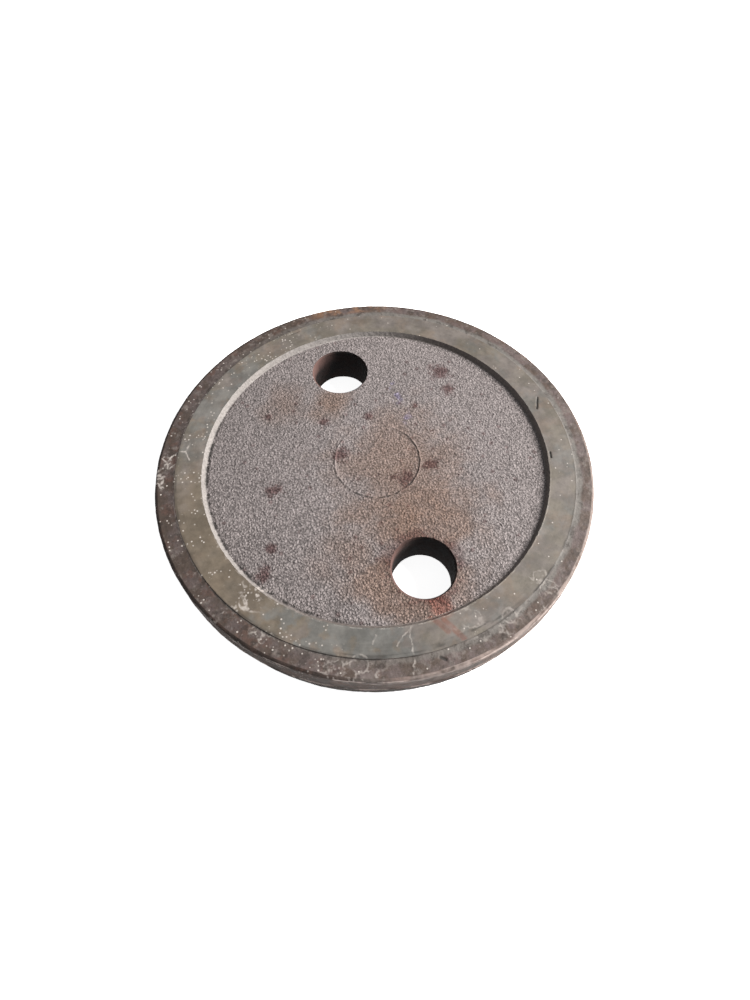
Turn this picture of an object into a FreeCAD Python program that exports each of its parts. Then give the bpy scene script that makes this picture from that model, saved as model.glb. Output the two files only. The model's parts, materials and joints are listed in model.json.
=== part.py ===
"""Blind flange: one cast-iron disc that closes a pipe end or an opening.

Frame: the origin is on the disc's axis at the centre of the flat back face, +Z points out of the
working face, and the two bolt holes stand on the Y axis. Lengths are in millimetres.

The disc is one casting. Its section, from the rim inwards, is a rim that is drafted both ways from
a parting line, a border, a raised seat that is faced flat, and a shallow recess with a cast floor.
A thin ring left by the mould stands on the floor round the axis.
"""

import math
import os

import FreeCAD
import Part

# ---- driving dimensions ----

OUTER_DIAMETER = 165.0      # over the parting line, the widest place
THICKNESS = 18.0            # back face to seat face
SEAT_DIAMETER = 150.0       # outside of the raised seat
SEAT_HEIGHT = 0.3           # seat above the border
RECESS_DIAMETER = 130.0     # at the seat face
RECESS_DEPTH = 2.0          # seat face to cast floor

HOLE_DIAMETER = 22.0        # clears an M20 bolt
HOLE_PITCH_DIAMETER = 93.0  # both hole centres lie on this circle
HOLE_COUNT = 2
HOLE_EDGE_BREAK = 0.5       # 45 degrees, at the floor and at the back

WITNESS_DIAMETER = 32.5     # middle of the mould's ring on the floor
WITNESS_WIDTH = 1.0
WITNESS_HEIGHT = 0.35

PARTING_HEIGHT = 8.6        # parting line above the back face
PARTING_WIDTH = 0.7         # foot of the parting line's ridge
PARTING_PROUD = 0.25        # ridge beyond the drafted rim
RIM_DRAFT_DEGREES = 2.5

SHOULDER_RADIUS = 1.4       # rim to border
BACK_CORNER_RADIUS = 1.0    # rim to back face
SEAT_EDGE_BREAK = 0.2       # outer edge of the seat
STEP_SLOPE = 0.15           # the step's foot stands this far outside its top
RECESS_WALL_SLOPE = 0.8     # the wall leans in this far before its fillet
RECESS_FILLET_RADIUS = 0.4  # wall to cast floor

CUTTER_REACH = 5.0          # the hole cutters go this far past both faces

NODE = "flange_casting"

# ---- sizes worked out from them ----

BORDER_Z = THICKNESS - SEAT_HEIGHT
FLOOR_Z = THICKNESS - RECESS_DEPTH
RIM_RADIUS = OUTER_DIAMETER / 2 - PARTING_PROUD
SEAT_RADIUS = SEAT_DIAMETER / 2
RECESS_RADIUS = RECESS_DIAMETER / 2
HOLE_RADIUS = HOLE_DIAMETER / 2


def at(radius, height):
    """A point of the section, which lies in the XZ plane."""
    return FreeCAD.Vector(radius, 0, height)


def line(start, end):
    """A straight edge of the section."""
    return Part.LineSegment(start, end).toShape()


def arc(start, middle, end):
    """A round edge of the section through three points."""
    return Part.Arc(start, middle, end).toShape()


def on_circle(centre, radius, degrees):
    """The point of a circle at an angle from the outward direction."""
    turn = math.radians(degrees)
    return centre + FreeCAD.Vector(radius * math.cos(turn), 0, radius * math.sin(turn))


def rim_radius(height):
    """Radius of the drafted rim, which is widest at the parting line."""
    return RIM_RADIUS - abs(height - PARTING_HEIGHT) * math.tan(math.radians(RIM_DRAFT_DEGREES))


def rim_edges():
    """Back corner, lower draft, parting ridge, upper draft and shoulder, from the back upwards."""
    half_ridge = PARTING_WIDTH / 2
    draft = RIM_DRAFT_DEGREES

    back_centre_z = BACK_CORNER_RADIUS
    back_centre = at(rim_radius(back_centre_z) - BACK_CORNER_RADIUS, back_centre_z)
    back_start = on_circle(back_centre, BACK_CORNER_RADIUS, -90)
    back_middle = on_circle(back_centre, BACK_CORNER_RADIUS, -45)
    back_end = on_circle(back_centre, BACK_CORNER_RADIUS, -draft)

    shoulder_centre_z = BORDER_Z - SHOULDER_RADIUS
    shoulder_centre = at(rim_radius(shoulder_centre_z) - SHOULDER_RADIUS, shoulder_centre_z)
    shoulder_start = on_circle(shoulder_centre, SHOULDER_RADIUS, draft)
    shoulder_middle = on_circle(shoulder_centre, SHOULDER_RADIUS, 45)
    shoulder_end = on_circle(shoulder_centre, SHOULDER_RADIUS, 90)

    ridge_foot = at(rim_radius(PARTING_HEIGHT - half_ridge), PARTING_HEIGHT - half_ridge)
    ridge_top = at(OUTER_DIAMETER / 2, PARTING_HEIGHT)
    ridge_head = at(rim_radius(PARTING_HEIGHT + half_ridge), PARTING_HEIGHT + half_ridge)

    edges = [
        arc(back_start, back_middle, back_end),
        line(back_end, ridge_foot),
        arc(ridge_foot, ridge_top, ridge_head),
        line(ridge_head, shoulder_start),
        arc(shoulder_start, shoulder_middle, shoulder_end),
    ]
    return edges, back_start, shoulder_end


def seat_edges(border_start):
    """Border, step, broken edge and seat face, from the shoulder inwards."""
    step_foot = at(SEAT_RADIUS, BORDER_Z)
    step_head = at(SEAT_RADIUS - STEP_SLOPE, THICKNESS - SEAT_EDGE_BREAK)
    seat_start = at(SEAT_RADIUS - STEP_SLOPE - SEAT_EDGE_BREAK, THICKNESS)
    seat_end = at(RECESS_RADIUS, THICKNESS)
    edges = [
        line(border_start, step_foot),
        line(step_foot, step_head),
        line(step_head, seat_start),
        line(seat_start, seat_end),
    ]
    return edges, seat_end


def recess_edges(wall_start):
    """Leaning wall, fillet, floor and witness ring, from the seat to the axis."""
    wall_drop = RECESS_DEPTH - RECESS_FILLET_RADIUS
    wall_end = at(RECESS_RADIUS - RECESS_WALL_SLOPE, THICKNESS - wall_drop)
    fillet_centre = wall_end - FreeCAD.Vector(RECESS_FILLET_RADIUS, 0, 0)
    fillet_middle = on_circle(fillet_centre, RECESS_FILLET_RADIUS, -45)
    fillet_end = on_circle(fillet_centre, RECESS_FILLET_RADIUS, -90)

    ring_radius = WITNESS_DIAMETER / 2
    ring_outer = at(ring_radius + WITNESS_WIDTH / 2, FLOOR_Z)
    ring_top = at(ring_radius, FLOOR_Z + WITNESS_HEIGHT)
    ring_inner = at(ring_radius - WITNESS_WIDTH / 2, FLOOR_Z)
    floor_centre = at(0, FLOOR_Z)

    edges = [
        line(wall_start, wall_end),
        arc(wall_end, fillet_middle, fillet_end),
        line(fillet_end, ring_outer),
        arc(ring_outer, ring_top, ring_inner),
        line(ring_inner, floor_centre),
    ]
    return edges, floor_centre


def turned_disc():
    """The casting before its holes: the closed section turned about the Z axis."""
    rim, back_end, border_start = rim_edges()
    seat, wall_start = seat_edges(border_start)
    recess, floor_centre = recess_edges(wall_start)
    back_centre = at(0, 0)
    back = [line(back_centre, back_end)]
    axis = [line(floor_centre, back_centre)]
    section = Part.Face(Part.Wire(back + rim + seat + recess + axis))
    return section.revolve(back_centre, FreeCAD.Vector(0, 0, 1), 360)


def edge_break_cutter(x, y, face_z, outward):
    """A cone that breaks a hole's edge at face_z; outward is +1 for the floor and -1 for the back."""
    wide_radius = HOLE_RADIUS + HOLE_EDGE_BREAK + CUTTER_REACH
    height = HOLE_EDGE_BREAK + CUTTER_REACH
    tip = FreeCAD.Vector(x, y, face_z - outward * HOLE_EDGE_BREAK)
    return Part.makeCone(HOLE_RADIUS, wide_radius, height, tip, FreeCAD.Vector(0, 0, outward))


def hole_cutter(index):
    """One bolt hole with both of its edges broken."""
    turn = math.radians(90 + index * 360 / HOLE_COUNT)
    x = HOLE_PITCH_DIAMETER / 2 * math.cos(turn)
    y = HOLE_PITCH_DIAMETER / 2 * math.sin(turn)
    start = FreeCAD.Vector(x, y, -CUTTER_REACH)
    shank = Part.makeCylinder(HOLE_RADIUS, FLOOR_Z + 2 * CUTTER_REACH, start)
    floor_break = edge_break_cutter(x, y, FLOOR_Z, 1)
    back_break = edge_break_cutter(x, y, 0, -1)
    return shank.fuse([floor_break, back_break])


def flange_casting():
    """The whole disc as one solid."""
    disc = turned_disc()
    for index in range(HOLE_COUNT):
        disc = disc.cut(hole_cutter(index))
    return disc.removeSplitter().Solids[0]


def main():
    os.makedirs("parts", exist_ok=True)
    casting = flange_casting()
    casting.exportStep(f"parts/{NODE}.step")
    box = casting.optimalBoundingBox(False, False)
    print(f"{NODE}: valid {casting.isValid()}, solids {len(casting.Solids)}")
    print(f"box {box.XLength:.3f} x {box.YLength:.3f} x {box.ZLength:.3f} mm")
    print(f"volume {casting.Volume / 1000:.1f} cm3")


main()
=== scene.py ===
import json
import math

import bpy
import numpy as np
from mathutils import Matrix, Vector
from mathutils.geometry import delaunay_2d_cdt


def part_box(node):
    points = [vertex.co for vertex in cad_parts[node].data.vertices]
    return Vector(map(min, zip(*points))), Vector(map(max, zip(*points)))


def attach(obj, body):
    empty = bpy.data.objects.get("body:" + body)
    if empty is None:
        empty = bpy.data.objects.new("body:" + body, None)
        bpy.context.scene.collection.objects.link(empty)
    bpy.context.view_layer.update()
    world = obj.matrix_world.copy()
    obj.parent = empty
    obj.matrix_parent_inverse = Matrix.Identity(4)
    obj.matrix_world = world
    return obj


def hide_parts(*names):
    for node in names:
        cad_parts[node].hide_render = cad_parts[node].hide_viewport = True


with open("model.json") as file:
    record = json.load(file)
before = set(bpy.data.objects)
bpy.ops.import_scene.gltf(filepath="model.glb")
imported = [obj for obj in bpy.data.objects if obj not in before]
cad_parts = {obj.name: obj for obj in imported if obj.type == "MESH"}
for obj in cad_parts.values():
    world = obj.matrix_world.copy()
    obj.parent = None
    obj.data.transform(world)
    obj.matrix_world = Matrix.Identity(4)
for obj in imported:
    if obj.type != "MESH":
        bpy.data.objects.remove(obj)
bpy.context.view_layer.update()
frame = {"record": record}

# Looks of the blind flange.
#
# The casting is one closed mesh that stands for the CAD solid. It is dense over the cast floor and
# the faced ring, so grain, pits, nicks and ragged edges are real relief. Masks painted on its
# vertices say where rust, stain, dirt and dried drips lie, and where light and shade are painted
# into the colour, and the materials read them.
#
# Lengths are in millimetres until a mesh, a light or the camera is made, where MM turns them into
# metres. A place on the disc is (radius, degrees), counted from +X towards +Y.

MM = 0.001
NODE = "flange_casting"

# ---- sizes read from the frame ----

cad_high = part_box(NODE)[1]
mounts = {mount["name"]: mount for mount in frame["record"]["mounts"]}
pattern = mounts["bolt_holes"]["dims"]

SEAT_Z = round(cad_high.z / MM, 3)
OUTER_RADIUS = round(cad_high.x / MM, 3)
HOLE_RADIUS = pattern["hole_r_mm"]
HOLE_PITCH_RADIUS = pattern["pcd_mm"] / 2
HOLE_CENTRES = [(0.0, HOLE_PITCH_RADIUS), (0.0, -HOLE_PITCH_RADIUS)]

# ---- the rest of the section, as the CAD part has it ----

SEAT_HEIGHT = 0.3
SEAT_RADIUS = 75.0
SEAT_EDGE_BREAK = 0.2
STEP_SLOPE = 0.15
RECESS_RADIUS = 65.0
RECESS_DEPTH = 2.0
RECESS_WALL_SLOPE = 0.8
RECESS_FILLET_RADIUS = 0.4
HOLE_EDGE_BREAK = 0.5
WITNESS_RADIUS = 16.25
WITNESS_WIDTH = 1.0
PARTING_HEIGHT = 8.6
PARTING_WIDTH = 0.7
PARTING_PROUD = 0.25
RIM_DRAFT_DEGREES = 2.5
SHOULDER_RADIUS = 1.4
BACK_CORNER_RADIUS = 1.0

BORDER_Z = SEAT_Z - SEAT_HEIGHT
FLOOR_Z = SEAT_Z - RECESS_DEPTH
WALL_FOOT_RADIUS = RECESS_RADIUS - RECESS_WALL_SLOPE - RECESS_FILLET_RADIUS
RIM_RADIUS = OUTER_RADIUS - PARTING_PROUD
HOLE_MOUTH_RADIUS = HOLE_RADIUS + HOLE_EDGE_BREAK
SEAT_EDGE_RADIUS = SEAT_RADIUS - STEP_SLOPE - SEAT_EDGE_BREAK

# ---- mesh density ----

FACE_SPACING = 0.30     # over the floor, seat and border
BACK_SPACING = 1.20
RIM_SPACING = 0.45      # round the rim and the bores
ROW_SPACING = 0.60      # down the rim, the bores and the recess wall
BOX_MARGIN = 0.02       # the relief stays this far inside the CAD box
SHARP_DEGREES = 42.0    # corners turned more than this are shaded crisp

# zones of the surface, in the order of their materials
FLOOR, WALL, SEAT, BORDER, RIM, BORE, BACK = range(7)


# ---- noise ----


def lattice_values(cells, seed):
    """A number from 0 to 1 for each whole-numbered lattice point, always the same for one seed."""
    x, y, z = cells.astype(np.int64).T
    mixed = (x * 374761393 + y * 668265263 + z * 1274126177 + seed * 974634777) & 0xFFFFFFFF
    mixed = ((mixed ^ (mixed >> 13)) * 1103515245) & 0xFFFFFFFF
    mixed = ((mixed ^ (mixed >> 16)) * 1540483477) & 0xFFFFFFFF
    return (mixed ^ (mixed >> 15)) / 0xFFFFFFFF


def smooth_noise(points, size, seed):
    """Value noise from -1 to 1 with features about size across."""
    scaled = points / size
    base = np.floor(scaled)
    t = scaled - base
    t = t * t * t * (t * (t * 6 - 15) + 10)
    total = np.zeros(len(points))
    for corner in np.ndindex(2, 2, 2):
        share = np.where(np.array(corner) == 1, t, 1 - t).prod(axis=1)
        total += share * lattice_values(base + np.array(corner), seed)
    return total * 2 - 1


def fractal_noise(points, size, seed, octaves=4):
    """Several sizes of smooth noise, each half the last in size and strength."""
    total = np.zeros(len(points))
    weight = 0.0
    for octave in range(octaves):
        share = 0.5 ** octave
        total += share * smooth_noise(points, size * share, seed + octave)
        weight += share
    return total / weight * 1.6


def cell_distances(plan, size, seed):
    """Distances to the nearest and second nearest of scattered points, in units of size."""
    scaled = plan / size
    base = np.floor(scaled)
    nearest = np.full(len(plan), 9.0)
    second = np.full(len(plan), 9.0)
    for offset in np.ndindex(3, 3):
        cell = base + np.array(offset) - 1
        flat = np.column_stack([cell, np.zeros(len(cell))])
        point_x = cell[:, 0] + lattice_values(flat, seed)
        point_y = cell[:, 1] + lattice_values(flat, seed + 1)
        distance = np.hypot(scaled[:, 0] - point_x, scaled[:, 1] - point_y)
        second = np.minimum(second, np.maximum(nearest, distance))
        nearest = np.minimum(nearest, distance)
    return nearest, second


def fade(low, high, value):
    """0 at low, 1 at high, smooth between; low may be the larger."""
    t = np.clip((value - low) / (high - low), 0, 1)
    return t * t * (3 - 2 * t)


# ---- the bare shape ----


def arc_points(centre, radius, start_degrees, end_degrees, count):
    """(radius, height) points along a round stretch of the section, both ends included."""
    turns = np.radians(np.linspace(start_degrees, end_degrees, count))
    return [(centre[0] + radius * math.cos(t), centre[1] + radius * math.sin(t)) for t in turns]


def straight_points(start, end, spacing):
    """Points between two ends of a straight stretch, the ends left out."""
    count = max(1, round(math.dist(start, end) / spacing))
    shares = [step / count for step in range(1, count)]
    return [(start[0] + (end[0] - start[0]) * s, start[1] + (end[1] - start[1]) * s) for s in shares]


def rim_radius(height):
    """Radius of the drafted rim."""
    return RIM_RADIUS - abs(height - PARTING_HEIGHT) * math.tan(math.radians(RIM_DRAFT_DEGREES))


def rim_section():
    """(radius, height) from the border over the shoulder and the parting ridge to the back face."""
    draft = RIM_DRAFT_DEGREES
    shoulder_z = BORDER_Z - SHOULDER_RADIUS
    shoulder_centre = (rim_radius(shoulder_z) - SHOULDER_RADIUS, shoulder_z)
    shoulder = arc_points(shoulder_centre, SHOULDER_RADIUS, 90, draft, 7)
    corner_centre = (rim_radius(BACK_CORNER_RADIUS) - BACK_CORNER_RADIUS, BACK_CORNER_RADIUS)
    corner = arc_points(corner_centre, BACK_CORNER_RADIUS, -draft, -90, 6)
    ridge = []
    for share in (1.0, 0.5, 0.0, -0.5, -1.0):
        height = PARTING_HEIGHT + share * PARTING_WIDTH / 2
        ridge.append((rim_radius(height) + PARTING_PROUD * (1 - share * share), height))
    upper = straight_points(shoulder[-1], ridge[0], ROW_SPACING)
    lower = straight_points(ridge[-1], corner[0], ROW_SPACING)
    return shoulder + upper + ridge + lower + corner


def bore_section():
    """(radius, height) from the floor down a bolt hole to the back face."""
    top_wall = (HOLE_RADIUS, FLOOR_Z - HOLE_EDGE_BREAK)
    back_wall = (HOLE_RADIUS, HOLE_EDGE_BREAK)
    wall = straight_points(top_wall, back_wall, ROW_SPACING)
    return [(HOLE_MOUTH_RADIUS, FLOOR_Z), top_wall, *wall, back_wall, (HOLE_MOUTH_RADIUS, 0.0)]


def face_section():
    """(radius, height) of the working face, from the axis out to the shoulder."""
    fillet_centre = (WALL_FOOT_RADIUS, FLOOR_Z + RECESS_FILLET_RADIUS)
    fillet = arc_points(fillet_centre, RECESS_FILLET_RADIUS, -90, 0, 3)
    wall = straight_points(fillet[-1], (RECESS_RADIUS, SEAT_Z), ROW_SPACING)
    step_head = (SEAT_RADIUS - STEP_SLOPE, SEAT_Z - SEAT_EDGE_BREAK)
    step = [(SEAT_EDGE_RADIUS, SEAT_Z), step_head, (SEAT_RADIUS, BORDER_Z)]
    return [(0.0, FLOOR_Z), *fillet, *wall, (RECESS_RADIUS, SEAT_Z), *step, rim_section()[0]]


def ring_plan(radius, count, centre=(0.0, 0.0)):
    """Evenly spaced points of a circle, seen from above."""
    turns = np.arange(count) * 2 * math.pi / count
    return np.column_stack([centre[0] + radius * np.cos(turns), centre[1] + radius * np.sin(turns)])


def count_round(radius, spacing):
    """How many points stand that far apart round a circle."""
    return round(2 * math.pi * radius / spacing)


BORE_COUNT = count_round(HOLE_MOUTH_RADIUS, RIM_SPACING)
RIM_COUNT = count_round(OUTER_RADIUS, RIM_SPACING)


def from_axis(points):
    """Length of each point's or offset's plan part: for a point, its distance to the disc's axis."""
    return np.hypot(points[:, 0], points[:, 1])


def from_hole_axis(plan):
    """Distance to the nearer bolt hole's axis."""
    return np.min([np.hypot(plan[:, 0] - x, plan[:, 1] - y) for x, y in HOLE_CENTRES], axis=0)


def even_grid(outer_radius, spacing):
    """Points of a triangular grid that covers a circle."""
    row_gap = spacing * math.sqrt(0.75)
    rows = int(outer_radius / row_gap) + 1
    columns = int(outer_radius / spacing) + 1
    column, row = np.meshgrid(np.arange(-columns, columns + 1), np.arange(-rows, rows + 1))
    return np.column_stack([((column + 0.5 * (row % 2)) * spacing).ravel(), (row * row_gap).ravel()])


def flat_mesh(outer_radius, spacing, feature_radii):
    """Triangulates a round face with its two holes: an even spread of points, and rings of points
    along the edges that have to be sharp. Returns plan points and triangles."""
    grid = even_grid(outer_radius, spacing)
    radius = from_axis(grid)
    room = 0.55 * spacing
    keep = (radius < outer_radius - room) & (from_hole_axis(grid) > HOLE_MOUTH_RADIUS + room)
    for feature in feature_radii:
        keep &= abs(radius - feature) > room
    rings = [ring_plan(feature, count_round(feature, spacing)) for feature in feature_radii]
    rings += [ring_plan(HOLE_MOUTH_RADIUS, BORE_COUNT, centre) for centre in HOLE_CENTRES]
    rings.append(ring_plan(outer_radius, RIM_COUNT))
    points = grid[keep]
    edges = []
    for ring in rings:
        first = len(points)
        edges += [(first + i, first + (i + 1) % len(ring)) for i in range(len(ring))]
        points = np.vstack([points, ring])
    made = delaunay_2d_cdt([Vector(p) for p in points], edges, [], 0, 1e-6)
    plan = points[[sources[0] for sources in made[3]]]
    triangles = np.array(made[2])
    middle = plan[triangles].mean(axis=1)
    inside = from_hole_axis(middle) > HOLE_MOUTH_RADIUS
    inside &= from_axis(middle) < outer_radius
    return plan, triangles[inside]


class Shell:
    """Collects the patches of the closed surface and joins them where their edges meet."""

    def __init__(self):
        self.points = []
        self.triangles = []
        self.zones = []
        self.count = 0

    def add(self, points, triangles, zones):
        self.points.append(points)
        self.triangles.append(triangles + self.count)
        self.zones.append(np.broadcast_to(zones, len(triangles)))
        self.count += len(points)

    def add_turned(self, section, centre, count, zone, inward=False):
        """A surface turned about an upright axis, from a section read downwards."""
        rows = [np.column_stack([ring_plan(r, count, centre), np.full(count, h)]) for r, h in section]
        here = np.arange(count)
        beside = (here + 1) % count
        triangles = []
        for row in range(len(section) - 1):
            upper = row * count
            lower = upper + count
            triangles.append(np.column_stack([upper + here, lower + here, lower + beside]))
            triangles.append(np.column_stack([upper + here, lower + beside, upper + beside]))
        triangles = np.vstack(triangles)
        self.add(np.vstack(rows), triangles[:, ::-1] if inward else triangles, zone)

    def joined(self):
        """Points, triangles and zones, with points that coincide made one."""
        points = np.vstack(self.points)
        found = np.unique(np.round(points, 4), axis=0, return_index=True, return_inverse=True)
        first, where = found[1], found[2].ravel()
        return points[first], where[np.vstack(self.triangles)], np.concatenate(self.zones)


def face_zones(plan, triangles):
    """The zone of each triangle of the working face."""
    radius = from_axis(plan[triangles].mean(axis=1))
    zones = np.full(len(triangles), FLOOR)
    zones[radius > WALL_FOOT_RADIUS] = WALL
    zones[radius > RECESS_RADIUS] = SEAT
    zones[radius > SEAT_EDGE_RADIUS] = BORDER
    return zones


def bare_casting():
    """The smooth casting: working face, rim, bores and back."""
    shell = Shell()
    rim = rim_section()
    face = face_section()
    feature_radii = [place[0] for place in face[1:-1]]
    feature_radii += [WITNESS_RADIUS + share * WITNESS_WIDTH for share in (-0.5, -0.25, 0.0, 0.25, 0.5)]
    plan, triangles = flat_mesh(rim[0][0], FACE_SPACING, feature_radii)
    face_radii, face_heights = np.array(face).T
    heights = np.interp(from_axis(plan), face_radii, face_heights)
    shell.add(np.column_stack([plan, heights]), triangles, face_zones(plan, triangles))
    shell.add_turned(rim, (0.0, 0.0), RIM_COUNT, RIM)
    for centre in HOLE_CENTRES:
        shell.add_turned(bore_section(), centre, BORE_COUNT, BORE, inward=True)
    plan, triangles = flat_mesh(rim[-1][0], BACK_SPACING, [])
    shell.add(np.column_stack([plan, np.zeros(len(plan))]), triangles[:, ::-1], BACK)
    return shell.joined()


def vertex_normals(points, triangles):
    """Unit normals, each the mean of the faces round a point."""
    a, b, c = (points[triangles[:, corner]] for corner in range(3))
    face = np.cross(b - a, c - a)
    normals = np.zeros_like(points)
    for corner in range(3):
        for axis in range(3):
            normals[:, axis] += np.bincount(triangles[:, corner], face[:, axis], len(points))
    return normals / np.maximum(np.linalg.norm(normals, axis=1), 1e-12)[:, None]


# ---- places on the disc ----

# ways that sides of the disc lie, in degrees from +X towards +Y
NEAR_SIDE = -90
OLIVE_SIDE = 203
COOL_SIDES = (241, 137)
# the recess wall is painted lit on this side; the step is worn to a slope here too
LIT_WALL_SIDE = 140
# weathering and painted shade lie on this side, away from the light
SHADED_WEATHERED_SIDE = 165
# the rim's upper half is painted lit on this side
LIT_RIM_SIDE = -40
# the rim's scratches and painted highlights lie on this side
SCRATCHED_HIGHLIGHT_SIDE = -75

# widest features of the three noises that the relief and the masks share
COARSE_SIZE = 9.0
MEDIUM_SIZE = 3.0
FINE_SIZE = 1.1


class Places:
    """What the relief and the masks read of each point of the bare casting."""

    def __init__(self, points):
        self.points = points
        self.plan = points[:, :2]
        self.height = points[:, 2]
        self.radius = from_axis(points)
        self.turn = np.arctan2(points[:, 1], points[:, 0])
        self.from_hole = from_hole_axis(self.plan)
        self.coarse = fractal_noise(points, COARSE_SIZE, 11)
        self.medium = fractal_noise(points, MEDIUM_SIZE, 23)
        self.fine = fractal_noise(points, FINE_SIZE, 37, octaves=2)
        above = fade(FLOOR_Z - 0.3, FLOOR_Z - 0.05, self.height)
        on_top = fade(BORDER_Z - 0.9, BORDER_Z - 0.3, self.height)
        self.on_floor = above * fade(WALL_FOOT_RADIUS + 0.1, WALL_FOOT_RADIUS - 0.5, self.radius)
        self.on_wall = above * self.between(WALL_FOOT_RADIUS, RECESS_RADIUS, 0.25)
        self.on_seat = on_top * self.between(RECESS_RADIUS, SEAT_EDGE_RADIUS, 0.35)
        self.on_border = on_top * fade(SEAT_EDGE_RADIUS, SEAT_RADIUS + 0.3, self.radius)
        self.on_rim = fade(SEAT_RADIUS + 2.0, OUTER_RADIUS - 1.5, self.radius) * (1 - self.on_border)
        zones = [self.on_floor, self.on_wall, self.on_seat, self.on_border]
        self.on_face = fade(0.2, 0.5, np.max(zones, axis=0))

    def between(self, inner, outer, blend):
        """1 between two radii, 0 outside them."""
        return fade(inner, inner + blend, self.radius) * fade(outer, outer - blend, self.radius)

    def facing(self, degrees):
        """1 on the side of the disc that lies that way, -1 on the far side."""
        return np.cos(self.turn - math.radians(degrees))

    def offset_from(self, place):
        """Plan offsets from a place given as (radius, degrees)."""
        turn = math.radians(place[1])
        return self.plan - place[0] * np.array([math.cos(turn), math.sin(turn)])

    def distance_from(self, place):
        """Distance from a place, seen from above."""
        return from_axis(self.offset_from(place))

    def spot(self, place, size, ragged, noise):
        """1 in a ragged round spot of that radius, 0 outside it."""
        return fade(1.4, 0.3, self.distance_from(place) / size + ragged * noise)

    def spots(self, marks, ragged, noise):
        """The strongest spot at each point; each mark is a place, a radius and a strength."""
        found = [strength * self.spot(place, size, ragged, noise) for place, size, strength in marks]
        return np.max(found, axis=0)

    def trail(self, places, width, wander):
        """1 along a line through places, each (radius, degrees), that wanders a little."""
        nearest = np.full(len(self.plan), 1e6)
        shift = wander * np.column_stack([self.medium + 0.5 * self.fine, self.coarse - 0.5 * self.fine])
        for start, end in zip(places, places[1:]):
            to_point = self.offset_from(start) + shift
            along = (self.offset_from(start) - self.offset_from(end))[0]
            share = np.clip(to_point @ along / (along @ along), 0, 1)
            gap = to_point - share[:, None] * along
            nearest = np.minimum(nearest, from_axis(gap))
        return fade(width, width * 0.35, nearest)

    def streaky(self, across, along, seed):
        """Noise drawn out along circles round the axis; its seam lies on the +Y side."""
        arc = np.arctan2(self.points[:, 0], -self.points[:, 1]) * SEAT_RADIUS
        drawn_out = np.column_stack([self.radius / across, arc / along, self.height / across])
        return smooth_noise(drawn_out, 1.0, seed)

    def arc_band(self, radius, width, start_degrees, end_degrees, ends):
        """1 on a round band, between two angles, with soft ends."""
        across = fade(width, width * 0.4, abs(self.radius - radius))
        middle = (start_degrees + end_degrees) / 2
        half = (end_degrees - start_degrees) / 2
        away = abs((np.degrees(self.turn) - middle + 180) % 360 - 180)
        return across * fade(half + ends / 2, half - ends / 2, away)


# ---- relief ----

GRAIN_SIZE = 1.0
GRAIN_DEPTH = 0.16
PIT_KINDS = [(4.0, 71, 0.09, 0.12), (9.0, 83, 0.06, 0.20)]  # spacing, seed, radius in spacings, depth
WITNESS_RIDGE = 0.34    # the mould's ring above the floor, where it isn't worn
WITNESS_GAP = 0.25      # depth of the gap beside it
FLOOR_SWELL = 0.06      # slow rise and fall of the floor
DEEPEST_NICK = 0.3
STEP_WEAR = 1.3         # a worn step slopes this far to each side
RELIEF_SPAN = 0.34      # from the floor's gaps to its grain tops

# both ends of each gouge, its width and its depth
NICKS = [
    ([(71, 4), (68, 0)], 0.5, 0.30),
    ([(66, 340), (66, 342)], 0.5, 0.30),
    ([(77, 265), (78, 266)], 0.7, 0.25),
    ([(73, 98), (73, 101)], 0.4, 0.15),
]


def grain_relief(places):
    """The sand-cast skin: rounded grains with gaps between them, on a gently uneven floor."""
    nearest, second = cell_distances(places.plan + 0.2 * places.fine[:, None], GRAIN_SIZE, 5)
    grains = fade(0.0, 0.6, second - nearest) - 0.55
    roughness = 0.8 + 0.45 * fade(10.0, 55.0, places.radius * places.facing(-120))
    return roughness * (GRAIN_DEPTH * grains + 0.05 * places.fine)


def pit_relief(places):
    """Scattered pits, fewer of the larger ones."""
    depth = np.zeros(len(places.points))
    for size, seed, share, deepest in PIT_KINDS:
        nearest = cell_distances(places.plan, size, seed)[0]
        there = smooth_noise(places.points, size * 1.3, seed + 2) > 0.1
        depth += deepest * fade(share, share * 0.4, nearest) * there
    return -depth


def ring_gap(places):
    """The fine gap beside the mould's ring: inside it and crisp towards +X, outside it and broken
    on the far side."""
    middle = WITNESS_RADIUS - 0.45 * WITNESS_WIDTH * places.facing(-10)
    across = fade(0.5, 0.12, abs(places.radius - middle - 0.12 * places.medium - 0.12 * places.fine))
    whole = fade(0.3, 0.9, places.facing(-15)) * (0.75 + 0.25 * places.fine)
    broken = fade(-0.5, 0.4, places.fine + 0.5 * places.medium) * (0.6 + 0.35 * places.facing(-80))
    return across * np.maximum(whole, broken) * places.on_floor


def witness_relief(places):
    """The mould's thin ring, worn away in places, and the gap beside it."""
    worn = 0.55 + 0.45 * smooth_noise(places.points, 7.0, 91)
    ridge = fade(0.55, 0.1, abs(places.radius - WITNESS_RADIUS - 0.12 * places.medium))
    return WITNESS_RIDGE * ridge * worn - WITNESS_GAP * ring_gap(places)


def nick_mask(places):
    """How deep the gouges in the faced ring and the border are, from 0 to 1."""
    deep = [depth / DEEPEST_NICK * places.trail(ends, width, 0.1) for ends, width, depth in NICKS]
    return np.max(deep, axis=0) * np.maximum(places.on_seat, places.on_border)


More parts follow.
